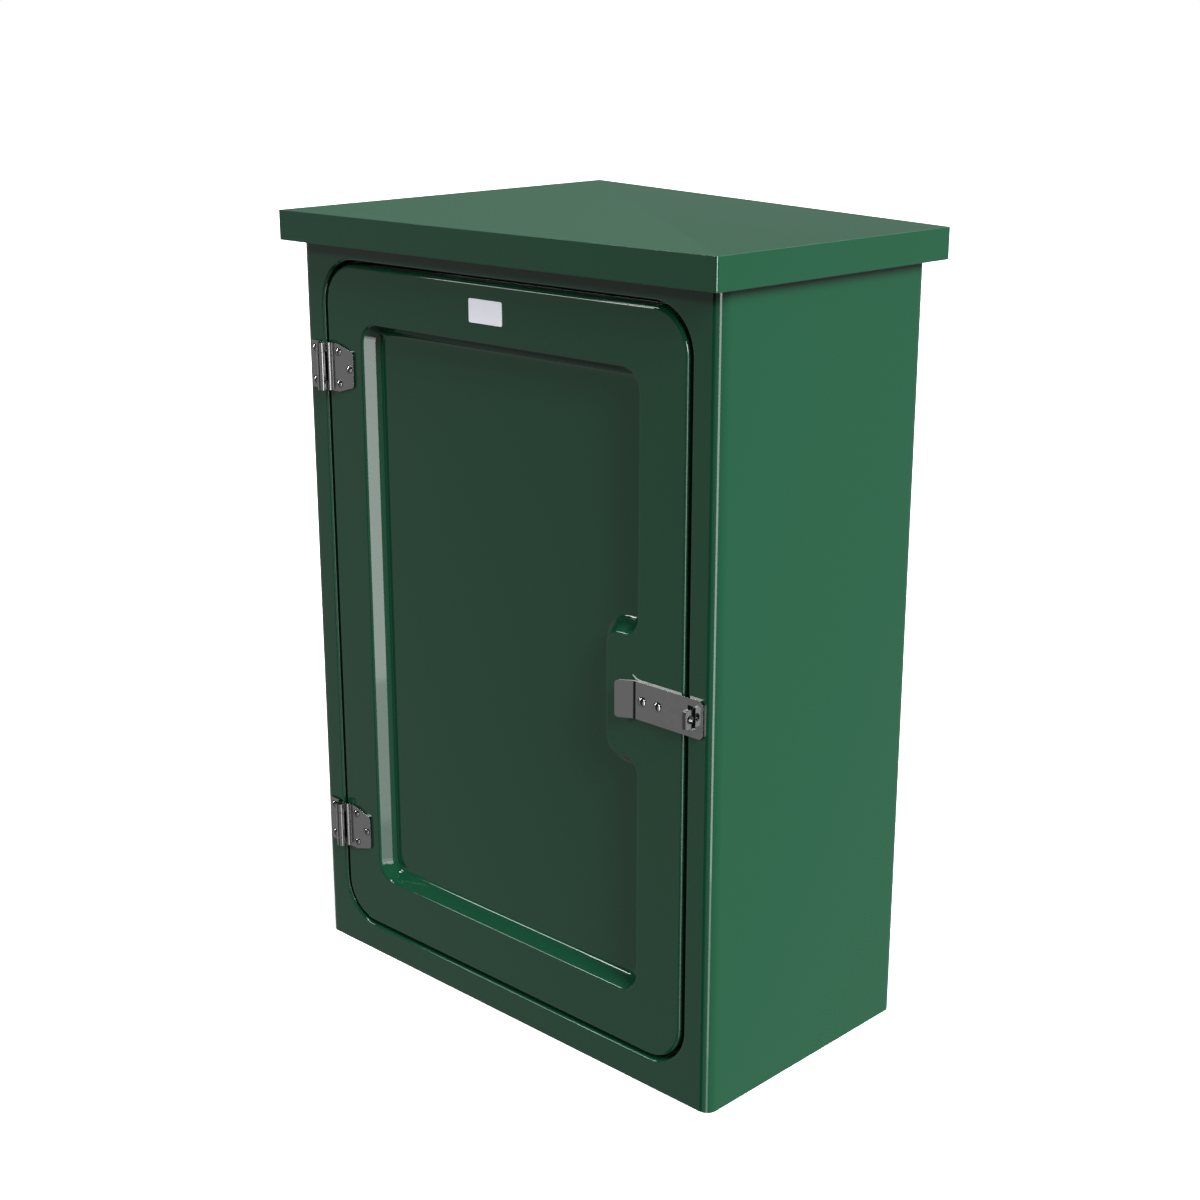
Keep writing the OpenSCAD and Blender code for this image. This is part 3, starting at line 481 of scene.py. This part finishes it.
def makeLeaf(nodeName, name, body):
    work = mergedCopy(nodeName)

    def onJoggle(middle, way):
        # the long corners of the joggle run straight up the leaf
        depth = sheetWork["facePlane"] - middle.y
        across = abs(middle.x - sheetWork["hingeLine"])
        return isUpright(way) and -sheetWork["planeSlack"] < depth < sheetWork["joggle"] \
            and sheetWork["joggleStart"] < across < sheetWork["joggleEnd"]

    bends = edgesWhere(work, *sheetWork["joggleAngles"], onJoggle)
    roundEdges(work, bends, sheetWork["bendOut"], 4)
    print(name, len(bends), "bends")
    piece = finishCopy(work, name, sheetWork["deburr"])
    standFor(piece, steelSheet, "stainless", body, nodeName)


for leafPlace in ("upper", "lower"):
    makeLeaf(leafPlace + "_frame_leaf", leafPlace + "_frame_leaf_bent", "cabinet")
    makeLeaf(leafPlace + "_door_leaf", leafPlace + "_door_leaf_bent", "door")


def makeHasp():
    work = mergedCopy("hasp_plate")

    def onBend(middle, way):
        left, right = sheetWork["haspBendAt"]
        return isUpright(way) and left < middle.x < right

    bends = edgesWhere(work, *sheetWork["haspAngles"], onBend)
    roundEdges(work, bends, sheetWork["haspBend"], 5)
    print("hasp:", len(bends), "bends")
    piece = finishCopy(work, "hasp_bent", sheetWork["deburr"])
    standFor(piece, steelSheet, "stainless", "door", "hasp_plate")


makeHasp()

# the staple gets the steel whose darker colour is painted shade
piece = finishCopy(mergedCopy("hasp_staple"), "hasp_staple_forged", sheetWork["stapleEdge"], 3)
standFor(piece, shadedDullSteel, "stainless", "cabinet", "hasp_staple")
for leafPlace in ("upper", "lower"):
    piece = finishCopy(mergedCopy(leafPlace + "_hinge_pin"), leafPlace + "_pin_turned",
                       sheetWork["pinEnd"], 3)
    standFor(piece, steelSheet, "stainless", "cabinet", leafPlace + "_hinge_pin")
print("hinges, hasp and staple made")


# ---- board, seal and label

softEdges = {"board": 0.8 * mm, "seal": 1.1 * mm, "label": 0.25 * mm}

piece = finishCopy(mergedCopy("backboard"), "plywood_board", softEdges["board"])
standFor(piece, birch, "plywood", "cabinet", "backboard")
piece = finishCopy(mergedCopy("door_seal"), "foam_seal", softEdges["seal"], 3)
standFor(piece, rubber, "seal_rubber", "cabinet", "door_seal")
piece = finishCopy(mergedCopy("label_plate"), "blank_label", softEdges["label"])
standFor(piece, film, "label_plastic", "door", "label_plate")
print("board, seal and label made")


# ---- fasteners, by Geometry Nodes: one instance on each place, made real at the end

fasteners = {
    "cupHead": 2.8 * mm, "haspHead": 3.1 * mm, "boardHead": 3.2 * mm, "roofHead": 5.2 * mm,
    "boltRadius": 2.5 * mm, "boardScrewRadius": 2.5 * mm, "roofBoltRadius": 4.0 * mm,
    "pitch": 0.8 * mm, "coarsePitch": 1.25 * mm, "chamfer": 0.55 * mm, "hexEnd": 0.87,
    "threadSides": 20, "rowsPerTurn": 4.0, "domeSegments": 40, "domeRings": 24, "ringSteps": 40,
    "threadDepth": 0.5, "washerEdge": 0.25,
}


def partBoxes(nodeName):
    # the low and high corners of each loose solid of a CAD node
    work = bmesh.new()
    work.from_mesh(nodes[nodeName].data)
    bmesh.ops.remove_doubles(work, verts=work.verts, dist=weld)
    seen = set()
    boxes = []
    for start in work.verts:
        if start in seen:
            continue
        seen.add(start)
        stack = [start]
        places = []
        while stack:
            vertex = stack.pop()
            places.append(vertex.co.copy())
            for edge in vertex.link_edges:
                other = edge.other_vert(vertex)
                if other not in seen:
                    seen.add(other)
                    stack.append(other)
        boxes.append((Vector([min(p[i] for p in places) for i in range(3)]),
                      Vector([max(p[i] for p in places) for i in range(3)])))
    work.free()
    return boxes


def newTree(name, sizes):
    tree = bpy.data.node_groups.new(name, "GeometryNodeTree")
    tree.interface.new_socket("Geometry", in_out="OUTPUT", socket_type="NodeSocketGeometry")
    tree.interface.new_socket("Places", in_out="INPUT", socket_type="NodeSocketGeometry")
    for size in sizes + ["Turn"]:
        tree.interface.new_socket(size, in_out="INPUT", socket_type="NodeSocketFloat")
    tree.interface.new_socket("Finish", in_out="INPUT", socket_type="NodeSocketMaterial")
    return tree, addNode(tree, "NodeGroupInput").outputs


def maths(tree, operation, first, second=0.0):
    return addNode(tree, "ShaderNodeMath", {"operation": operation}, {0: first, 1: second}).outputs[0]


def endTree(tree, given, part):
    # puts the part on every place, makes it real and gives it its finish
    turn = addNode(tree, "ShaderNodeCombineXYZ", inputs={"X": given["Turn"]})
    copies = addNode(tree, "GeometryNodeInstanceOnPoints", inputs={
        "Points": given["Places"], "Instance": part, "Rotation": turn.outputs["Vector"]})
    real = addNode(tree, "GeometryNodeRealizeInstances", inputs={"Geometry": copies.outputs["Instances"]})
    finished = addNode(tree, "GeometryNodeSetMaterial", inputs={
        "Geometry": real.outputs["Geometry"], "Material": given["Finish"]})
    addNode(tree, "NodeGroupOutput", inputs={"Geometry": finished.outputs["Geometry"]})


def threadedShank(tree, given):
    # a cylinder below the head, its side pushed in along a helix
    turns = maths(tree, "DIVIDE", given["Shank length"], given["Pitch"])
    rows = maths(tree, "MULTIPLY", turns, fasteners["rowsPerTurn"])
    bar = addNode(tree, "GeometryNodeMeshCylinder", inputs={
        "Vertices": fasteners["threadSides"], "Side Segments": rows, "Radius": given["Shank radius"],
        "Depth": given["Shank length"]})
    place = addNode(tree, "GeometryNodeInputPosition")
    axes = addNode(tree, "ShaderNodeSeparateXYZ", inputs={"Vector": place.outputs["Position"]})
    around = maths(tree, "ARCTAN2", axes.outputs["Y"], axes.outputs["X"])
    helix = maths(tree, "ADD", maths(tree, "DIVIDE", around, 2 * math.pi),
                  maths(tree, "DIVIDE", axes.outputs["Z"], given["Pitch"]))
    wave = maths(tree, "ABSOLUTE", maths(tree, "SUBTRACT", maths(tree, "MULTIPLY", maths(
        tree, "FRACT", helix), 2.0), 1.0))
    depth = maths(tree, "DIVIDE", maths(
        tree, "MULTIPLY", given["Pitch"], fasteners["threadDepth"]), given["Shank radius"])
    shrink = maths(tree, "SUBTRACT", 1.0, maths(tree, "MULTIPLY", wave, depth))
    factor = addNode(tree, "ShaderNodeCombineXYZ", inputs={"X": shrink, "Y": shrink, "Z": 1.0})
    moved = addNode(tree, "ShaderNodeVectorMath", {"operation": "MULTIPLY"}, {
        0: place.outputs["Position"], 1: factor.outputs["Vector"]})
    cut = addNode(tree, "GeometryNodeSetPosition", inputs={
        "Geometry": bar.outputs["Mesh"], "Position": moved.outputs["Vector"]})
    drop = addNode(tree, "ShaderNodeCombineXYZ", inputs={
        "Z": maths(tree, "MULTIPLY", given["Shank length"], -0.5)})
    return addNode(tree, "GeometryNodeTransform", inputs={
        "Geometry": cut.outputs["Geometry"], "Translation": drop.outputs["Vector"]}).outputs["Geometry"]


def cupBoltTree():
    tree, given = newTree("cup_bolt", [
        "Head radius", "Head height", "Shank radius", "Shank length", "Pitch"])
    ball = addNode(tree, "GeometryNodeMeshUVSphere", inputs={
        "Segments": fasteners["domeSegments"], "Rings": fasteners["domeRings"], "Radius": 1.0})
    # the lower half is pressed flat, so the dome is closed by the face that bears on the plate
    place = addNode(tree, "GeometryNodeInputPosition")
    axes = addNode(tree, "ShaderNodeSeparateXYZ", inputs={"Vector": place.outputs["Position"]})
    flat = addNode(tree, "ShaderNodeCombineXYZ", inputs={
        "X": axes.outputs["X"], "Y": axes.outputs["Y"], "Z": maths(tree, "MAXIMUM", axes.outputs["Z"])})
    dome = addNode(tree, "GeometryNodeSetPosition", inputs={
        "Geometry": ball.outputs["Mesh"], "Position": flat.outputs["Vector"]})
    size = addNode(tree, "ShaderNodeCombineXYZ", inputs={
        "X": given["Head radius"], "Y": given["Head radius"], "Z": given["Head height"]})
    head = addNode(tree, "GeometryNodeTransform", inputs={
        "Geometry": dome.outputs["Geometry"], "Scale": size.outputs["Vector"]})
    smooth = addNode(tree, "GeometryNodeSetShadeSmooth", inputs={"Geometry": head.outputs["Geometry"]})
    bolt = addNode(tree, "GeometryNodeJoinGeometry")
    tree.links.new(smooth.outputs["Geometry"], bolt.inputs["Geometry"])
    tree.links.new(threadedShank(tree, given), bolt.inputs["Geometry"])
    endTree(tree, given, bolt.outputs["Geometry"])
    return tree


def hexPrism(tree, given):
    # six sides with both ends drawn in, as a turned chamfer leaves them
    middle = maths(tree, "SUBTRACT", given["Height"], maths(tree, "MULTIPLY", given["Chamfer"], 2.0))
    bar = addNode(tree, "GeometryNodeMeshCylinder", inputs={
        "Vertices": 6, "Radius": given["Corner radius"], "Depth": middle})
    shape = bar.outputs["Mesh"]
    for end in ("Top", "Bottom"):
        raised = addNode(tree, "GeometryNodeExtrudeMesh", inputs={
            "Mesh": shape, "Selection": bar.outputs[end], "Offset Scale": given["Chamfer"]})
        shape = addNode(tree, "GeometryNodeScaleElements", inputs={
            "Geometry": raised.outputs["Mesh"], "Selection": raised.outputs["Top"],
            "Scale": fasteners["hexEnd"]}).outputs["Geometry"]
    return shape


def nutTree():
    tree, given = newTree("hex_nut", ["Corner radius", "Height", "Chamfer"])
    endTree(tree, given, hexPrism(tree, given))
    return tree


def hexBoltTree():
    tree, given = newTree("hex_bolt", [
        "Corner radius", "Height", "Chamfer", "Shank radius", "Shank length", "Pitch"])
    lift = addNode(tree, "ShaderNodeCombineXYZ", inputs={
        "Z": maths(tree, "MULTIPLY", given["Height"], 0.5)})
    head = addNode(tree, "GeometryNodeTransform", inputs={
        "Geometry": hexPrism(tree, given), "Translation": lift.outputs["Vector"]})
    bolt = addNode(tree, "GeometryNodeJoinGeometry")
    tree.links.new(head.outputs["Geometry"], bolt.inputs["Geometry"])
    tree.links.new(threadedShank(tree, given), bolt.inputs["Geometry"])
    endTree(tree, given, bolt.outputs["Geometry"])
    return tree


def washerTree():
    # a rounded strip swept round a circle
    tree, given = newTree("washer", ["Outer radius", "Inner radius", "Thickness"])
    total = maths(tree, "ADD", given["Outer radius"], given["Inner radius"])
    ring = addNode(tree, "GeometryNodeCurvePrimitiveCircle", inputs={
        "Resolution": fasteners["ringSteps"], "Radius": maths(tree, "MULTIPLY", total, 0.5)})
    section = addNode(tree, "GeometryNodeCurvePrimitiveQuadrilateral", inputs={
        "Width": maths(tree, "SUBTRACT", given["Outer radius"], given["Inner radius"]),
        "Height": given["Thickness"]})
    softened = addNode(tree, "GeometryNodeFilletCurve", inputs={
        "Curve": section.outputs["Curve"],
        "Radius": maths(tree, "MULTIPLY", given["Thickness"], fasteners["washerEdge"])})
    swept = addNode(tree, "GeometryNodeCurveToMesh", inputs={
        "Curve": ring.outputs["Curve"], "Profile Curve": softened.outputs["Curve"]})
    endTree(tree, given, swept.outputs["Mesh"])
    return tree


def grow(name, tree, places, sizes, turn, material):
    # runs a tree on a set of places, and keeps the result as a plain mesh
    mesh = bpy.data.meshes.new(name)
    mesh.from_pydata([tuple(p) for p in places], [], [])
    piece = linkMesh(name, mesh)
    modifier = piece.modifiers.new(tree.name, "NODES")
    modifier.node_group = tree
    wanted = dict(sizes, Turn=turn, Finish=material)
    for item in tree.interface.items_tree:
        if item.in_out == "INPUT" and item.name in wanted:
            modifier[item.identifier] = wanted[item.name]
    applyModifiers(piece)
    return piece


cupBolt = cupBoltTree()
hexBolt = hexBoltTree()
hexNut = nutTree()
flatWasher = washerTree()
facingFront = math.pi / 2
facingDown = math.pi


def makeCupBolts(nodeName, name, headHeight, shankRadius, pitch, material, slotName, body):
    boxes = partBoxes(nodeName)
    low, high = boxes[0]
    places = [Vector(((a.x + b.x) / 2, a.y + headHeight, (a.z + b.z) / 2)) for a, b in boxes]
    sizes = {"Head radius": (high.x - low.x) / 2, "Head height": headHeight, "Shank radius": shankRadius,
             "Shank length": high.y - low.y - headHeight, "Pitch": pitch}
    piece = grow(name, cupBolt, places, sizes, facingFront, material)
    standFor(piece, material, slotName, body, nodeName)


def makeNuts(nodeName, name, material, slotName, body):
    boxes = partBoxes(nodeName)
    low, high = boxes[0]
    sizes = {"Corner radius": (high.x - low.x) / 2, "Height": high.y - low.y,
             "Chamfer": fasteners["chamfer"]}
    piece = grow(name, hexNut, [(a + b) / 2 for a, b in boxes], sizes, facingFront, material)
    standFor(piece, material, slotName, body, nodeName)


def makeWashers(nodeName, name, holeRadius, turn, material, slotName, body):
    boxes = partBoxes(nodeName)
    low, high = boxes[0]
    thickness = min(high.y - low.y, high.z - low.z)
    sizes = {"Outer radius": (high.x - low.x) / 2, "Inner radius": holeRadius, "Thickness": thickness}
    piece = grow(name, flatWasher, [(a + b) / 2 for a, b in boxes], sizes, turn, material)
    standFor(piece, material, slotName, body, nodeName)


def makeRoofBolts():
    boxes = partBoxes("roof_bolts")
    low, high = boxes[0]
    head = fasteners["roofHead"]
    places = [Vector(((a.x + b.x) / 2, (a.y + b.y) / 2, a.z + head)) for a, b in boxes]
    sizes = {"Corner radius": (high.x - low.x) / 2, "Height": head, "Chamfer": fasteners["chamfer"],
             "Shank radius": fasteners["roofBoltRadius"], "Shank length": high.z - low.z - head,
             "Pitch": fasteners["coarsePitch"]}
    piece = grow("roof_hex_bolts", hexBolt, places, sizes, facingDown, zinc)
    standFor(piece, zinc, "zinc_steel", "cabinet", "roof_bolts")


boltRadius = fasteners["boltRadius"]
makeCupBolts("frame_hinge_bolts", "frame_cup_bolts", fasteners["cupHead"], boltRadius, fasteners["pitch"],
             steelSheet, "stainless", "cabinet")
makeCupBolts("door_hinge_bolts", "door_cup_bolts", fasteners["cupHead"], boltRadius, fasteners["pitch"],
             steelSheet, "stainless", "door")
makeCupBolts("hasp_bolts", "hasp_cup_bolts", fasteners["haspHead"], boltRadius, fasteners["pitch"],
             steelSheet, "stainless", "door")
makeCupBolts("backboard_screws", "board_screws", fasteners["boardHead"], fasteners["boardScrewRadius"],
             fasteners["coarsePitch"], zinc, "zinc_steel", "cabinet")
makeRoofBolts()
for source, body in (("frame_hinge", "cabinet"), ("door_hinge", "door"), ("hasp", "door"),
                     ("staple", "cabinet")):
    makeNuts(source + "_nuts", source + "_hex_nuts", steelSheet, "stainless", body)
for source, holeRadius, turn, material, slotName, body in (
        ("frame_hinge", boltRadius, facingFront, steelSheet, "stainless", "cabinet"),
        ("door_hinge", boltRadius, facingFront, steelSheet, "stainless", "door"),
        ("hasp", boltRadius, facingFront, steelSheet, "stainless", "door"),
        ("backboard", boltRadius, facingFront, zinc, "zinc_steel", "cabinet"),
        ("roof", fasteners["roofBoltRadius"], 0.0, zinc, "zinc_steel", "cabinet")):
    makeWashers(source + "_washers", source + "_flat_washers", holeRadius, turn, material, slotName, body)
print("fasteners made")


# ---- studio

studio = {
    "lens": 57.51, "sensor": 36.0, "cameraPlace": (1.4452, -1.4904, 1.0805),
    "cameraTurn": (73.2924, 0.0, 44.1084),
    "floorColour": "#f7f7f7", "floorGlow": 0.4, "floorRoughness": 0.9, "floorSize": 60.0, "fill": 0.14,
}

camera = bpy.data.objects.new("camera", bpy.data.cameras.new("camera"))
bpy.context.scene.collection.objects.link(camera)
camera.data.lens = studio["lens"]
camera.data.sensor_width = studio["sensor"]
camera.location = studio["cameraPlace"]
camera.rotation_euler = [math.radians(a) for a in studio["cameraTurn"]]
bpy.context.scene.camera = camera
bpy.context.scene.view_settings.view_transform = "Standard"


# the room as the gloss sees it, by height and heading; each pair is where a change begins and ends
room = {
    "low": 0.39, "eye": 0.2, "high": 0.45, "rise": (0.25, 0.6), "horizon": (-0.15, 0.2),
    "front": 0.2, "frontToBack": (0.0, 0.45),
    "panel": 5.0, "panelWay": (0.0, 0.62, 0.78), "panelEdge": (0.88, 0.94),
    "band": 0.08, "bandWay": (-0.391, -0.92, 0.0), "bandEdge": (0.957, 0.975),
}


def change(tree, value, between, low, high):
    # runs smoothly from low to high while the value crosses the pair
    return addNode(tree, "ShaderNodeMapRange", {"interpolation_type": "SMOOTHSTEP"}, {
        "Value": value, "From Min": between[0], "From Max": between[1],
        "To Min": low, "To Max": high}).outputs["Result"]


def makeWorld():
    # white behind the object; the fill and the reflections are set apart, as flags and black cards do
    world = bpy.data.worlds.new("studio")
    bpy.context.scene.world = world
    world.use_nodes = True
    tree = world.node_tree
    tree.nodes.clear()
    way = addNode(tree, "ShaderNodeTexCoord").outputs["Generated"]
    axes = addNode(tree, "ShaderNodeSeparateXYZ", inputs={"Vector": way})
    # pale below, dim above eye level and dimmer still in front
    rise = change(tree, axes.outputs["Z"], room["rise"], room["eye"], room["high"])
    back = change(tree, axes.outputs["Y"], room["frontToBack"], room["front"], 1.0)
    upper = maths(tree, "MULTIPLY", rise, back)
    walls = addNode(tree, "ShaderNodeMix", {"data_type": "FLOAT"}, {
        "Factor": change(tree, axes.outputs["Z"], room["horizon"], 0.0, 1.0), "A": room["low"], "B": upper})
    # a bright panel high at the back
    towardsBack = addNode(tree, "ShaderNodeVectorMath", {"operation": "DOT_PRODUCT"}, {
        0: way, 1: room["panelWay"]})
    panel = change(tree, towardsBack.outputs["Value"], room["panelEdge"], 0.0, room["panel"])
    lighter = maths(tree, "ADD", walls.outputs["Result"], panel)
    # a dark band a little left of straight ahead of the door
    flatWay = addNode(tree, "ShaderNodeVectorMath", {"operation": "MULTIPLY"}, {0: way, 1: (1.0, 1.0, 0.0)})
    heading = addNode(tree, "ShaderNodeVectorMath", {"operation": "NORMALIZE"}, {
        0: flatWay.outputs["Vector"]})
    ahead = addNode(tree, "ShaderNodeVectorMath", {"operation": "DOT_PRODUCT"}, {
        0: heading.outputs["Vector"], 1: room["bandWay"]})
    glossy = maths(tree, "MULTIPLY", lighter, change(
        tree, ahead.outputs["Value"], room["bandEdge"], 1.0, room["band"]))
    rays = addNode(tree, "ShaderNodeLightPath")
    lit = addNode(tree, "ShaderNodeMix", {"data_type": "FLOAT"}, {
        "Factor": rays.outputs["Is Glossy Ray"], "A": studio["fill"], "B": glossy})
    seen = addNode(tree, "ShaderNodeMix", {"data_type": "FLOAT"}, {
        "Factor": rays.outputs["Is Camera Ray"], "A": lit.outputs["Result"], "B": 1.0})
    background = addNode(tree, "ShaderNodeBackground", inputs={
        "Color": srgb("#ffffff"), "Strength": seen.outputs["Result"]})
    addNode(tree, "ShaderNodeOutputWorld", inputs={"Surface": background.outputs["Background"]})


makeWorld()


def softSun(name, towards, power, spread):
    # a far, broad light; it isn't seen in the gloss
    light = bpy.data.lights.new(name, "SUN")
    light.energy = power * math.pi
    light.angle = math.radians(spread)
    lamp = bpy.data.objects.new(name, light)
    bpy.context.scene.collection.objects.link(lamp)
    lamp.rotation_euler = Vector(towards).to_track_quat("Z", "Y").to_euler()
    lamp.visible_glossy = False


# direction it comes from, power, spread in degrees
suns = {
    "side": ((1.0, -0.03, 0.75), 2.52, 38), "front": ((-0.5, -1.0, 0.64), 0.36, 12),
    "top": ((0.0, 0.06, 1.0), 0.42, 50), "back": ((-0.7, 0.7, 0.12), 0.8, 20),
}
for name, (towards, power, spread) in suns.items():
    softSun(name, towards, power, spread)


def glossyPanel(name, place, aim, width, height, brightness):
    # a softbox that only the gloss sees
    light = bpy.data.lights.new(name, "AREA")
    light.shape = "RECTANGLE"
    light.size = width
    light.size_y = height
    light.energy = brightness * math.pi * width * height
    lamp = bpy.data.objects.new(name, light)
    bpy.context.scene.collection.objects.link(lamp)
    lamp.location = place
    lamp.rotation_euler = (Vector(aim) - lamp.location).to_track_quat("-Z", "Y").to_euler()
    lamp.visible_diffuse = False
    lamp.visible_camera = False


# beside the front right corner; each part has its middle, height and brightness, and they fade downwards
edgeStrip = {
    "place": (0.585, -0.519), "aim": (0.3, -0.15), "width": 0.14,
    "parts": ((0.87, 0.16, 22.0), (0.42, 0.74, 6.6), (-0.075, 0.25, 4.4), (-0.325, 0.25, 3.2)),
}
for middle, height, brightness in edgeStrip["parts"]:
    glossyPanel("edge_strip", (*edgeStrip["place"], middle), (*edgeStrip["aim"], middle),
                edgeStrip["width"], height, brightness)

# place, aim, width, height, brightness
panels = {
    "high_panel": ((-1.55, -1.75, 1.05), (0.1, -0.16, 0.1), 0.5, 0.3, 12.0),
    "hasp_glint": ((-1.55, -2.13, 1.39), (0.24, -0.16, 0.44), 0.35, 0.25, 20.0),
    "hinge_glint": ((-1.23, -1.5, 2.17), (-0.25, -0.16, 0.72), 0.5, 0.5, 20.0),
}
for name, values in panels.items():
    glossyPanel(name, *values)


def makeFloor():
    half = studio["floorSize"] / 2
    floor = meshPiece("floor", [(-half, -half, 0), (half, -half, 0), (half, half, 0), (-half, half, 0)],
                      [(0, 1, 2, 3)], smooth=False)
    material, tree = newMaterial("studio_floor")
    shader = addNode(tree, "ShaderNodeBsdfPrincipled", inputs={
        "Base Color": srgb(studio["floorColour"]), "Roughness": studio["floorRoughness"],
        "Emission Color": srgb("#ffffff"), "Emission Strength": studio["floorGlow"]})
    outputTo(tree, shader)
    floor.data.materials.append(material)
    floor.visible_glossy = False
    floor.visible_diffuse = False


makeFloor()
print("studio made")
